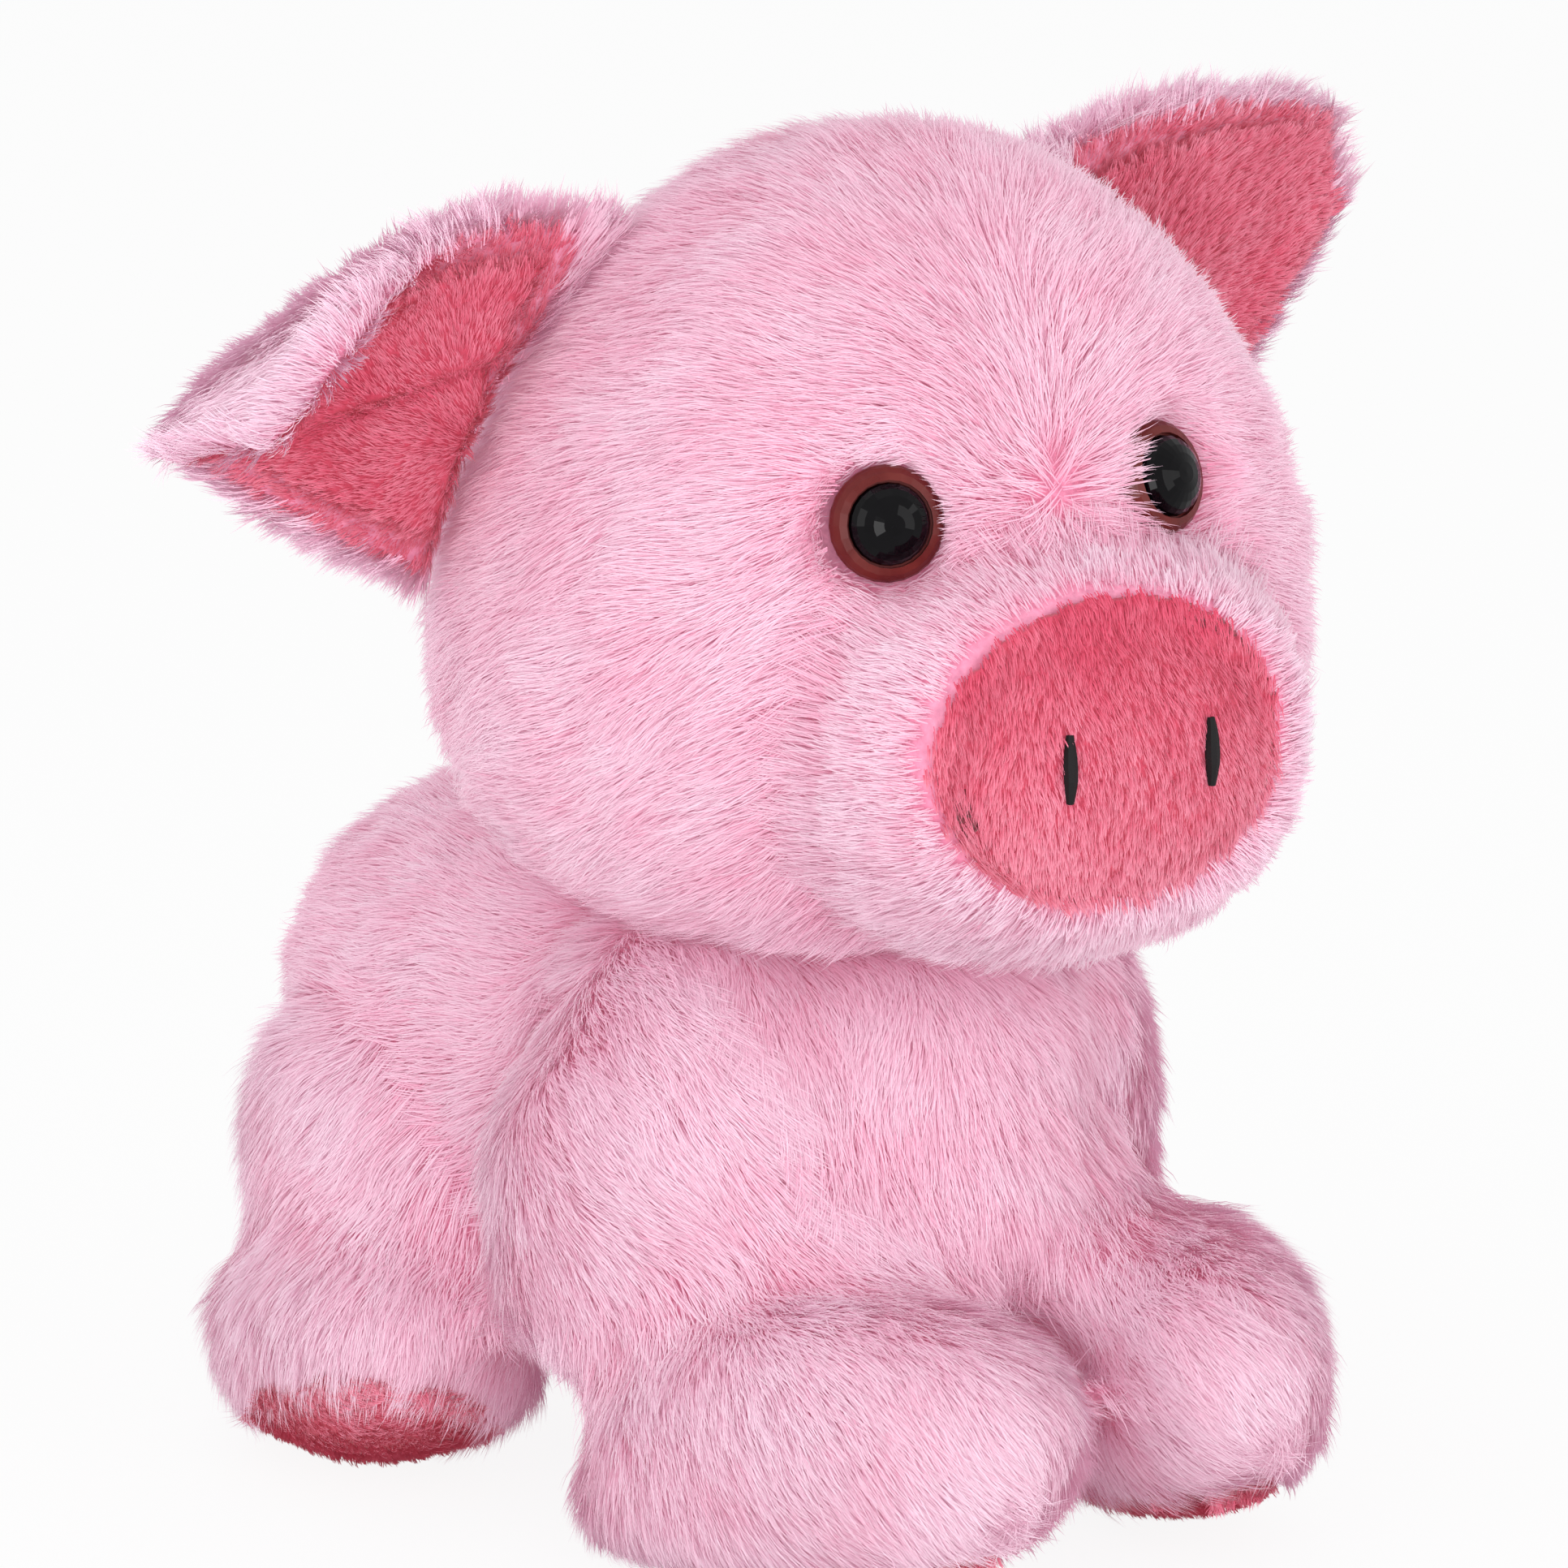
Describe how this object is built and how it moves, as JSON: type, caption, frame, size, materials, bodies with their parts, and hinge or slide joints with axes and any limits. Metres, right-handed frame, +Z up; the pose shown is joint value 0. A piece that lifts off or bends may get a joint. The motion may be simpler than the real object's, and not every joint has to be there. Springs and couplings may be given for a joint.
{
  "type": "plush pig",
  "caption": "Stuffed pink pig standing on long plush feet, with a large head, velour nose and soles, glossy eyes and velour-lined ears.",
  "frame": {"origin": "middle of the footprint, on the surface that the pig stands on", "axes": "+Z up, the pig looks along -Y, +X towards its left side"},
  "size_m": [0.193, 0.1792, 0.1871],
  "materials": {
    "pink_fur": "long-pile plush",
    "deep_pink_velour": "short-pile velour",
    "brown_eye_plastic": "gloss",
    "black_eye_plastic": "gloss",
    "black_thread": "embroidery thread",
    "white_stuffing": "polyester fibre",
    "pellet_pouch_cloth": "woven",
    "white_washer_plastic": "matt"
  },
  "bodies": {
    "torso": {"torso_skin": "pink_fur", "torso_stuffing": "white_stuffing", "pellet_pouch": "pellet_pouch_cloth"},
    "head": {"head_skin": "pink_fur", "head_stuffing": "white_stuffing", "muzzle": "pink_fur", "nose_pad": "deep_pink_velour", "nostril_stitch_left": "black_thread", "nostril_stitch_right": "black_thread", "eye_iris_left": "brown_eye_plastic", "eye_iris_right": "brown_eye_plastic", "eye_pupil_left": "black_eye_plastic", "eye_pupil_right": "black_eye_plastic", "eye_washer_left": "white_washer_plastic", "eye_washer_right": "white_washer_plastic"},
    "tail": {"tail": "deep_pink_velour"},
    "ear_left": {"ear_left": "pink_fur", "ear_lining_left": "deep_pink_velour"},
    "front_leg_left": {"front_leg_left": "pink_fur", "front_sole_left": "deep_pink_velour"},
    "hind_leg_left": {"hind_leg_left": "pink_fur", "hind_sole_left": "deep_pink_velour"},
    "ear_right": {"ear_right": "pink_fur", "ear_lining_right": "deep_pink_velour"},
    "front_leg_right": {"front_leg_right": "pink_fur", "front_sole_right": "deep_pink_velour"},
    "hind_leg_right": {"hind_leg_right": "pink_fur", "hind_sole_right": "deep_pink_velour"}
  },
  "joints": [
    {"name": "neck_turn", "type": "hinge", "parent": "torso", "child": "head", "pos_m": [-0.00079, -0.01984, 0.082], "axis": [0, 0, 1], "range_deg": [-15, 15], "stiffness_Nm_per_rad": 0.5},
    {"name": "ear_left_flap", "type": "hinge", "parent": "head", "child": "ear_left", "pos_m": [0.04511, -0.0084, 0.15557], "axis": [-0.2026, -0.0468, 0.9781], "range_deg": [-25, 25], "stiffness_Nm_per_rad": 0.15},
    {"name": "ear_right_flap", "type": "hinge", "parent": "head", "child": "ear_right", "pos_m": [-0.04689, -0.00027, 0.15073], "axis": [0.1338, -0.0384, 0.9903], "range_deg": [-25, 25], "stiffness_Nm_per_rad": 0.15},
    {"name": "front_leg_left_swing", "type": "hinge", "parent": "torso", "child": "front_leg_left", "pos_m": [0.01971, -0.01084, 0.05], "axis": [0.9511, -0.309, 0], "range_deg": [-12, 6], "stiffness_Nm_per_rad": 1.5},
    {"name": "hind_leg_left_swing", "type": "hinge", "parent": "torso", "child": "hind_leg_left", "pos_m": [0.02521, 0.03866, 0.039], "axis": [0.9976, 0.0698, 0], "range_deg": [-6, 12], "stiffness_Nm_per_rad": 1.5},
    {"name": "front_leg_right_swing", "type": "hinge", "parent": "torso", "child": "front_leg_right", "pos_m": [-0.02579, -0.01384, 0.05], "axis": [0.9397, 0.342, 0], "range_deg": [-12, 6], "stiffness_Nm_per_rad": 1.5},
    {"name": "hind_leg_right_swing", "type": "hinge", "parent": "torso", "child": "hind_leg_right", "pos_m": [-0.02679, 0.03866, 0.039], "axis": [0.9976, -0.0698, 0], "range_deg": [-6, 12], "stiffness_Nm_per_rad": 1.5},
    {"name": "tail_wag", "type": "hinge", "parent": "torso", "child": "tail", "pos_m": [-0.00079, 0.07798, 0.05216], "axis": [0, 0, 1], "range_deg": [-20, 20], "stiffness_Nm_per_rad": 0.02}
  ]
}
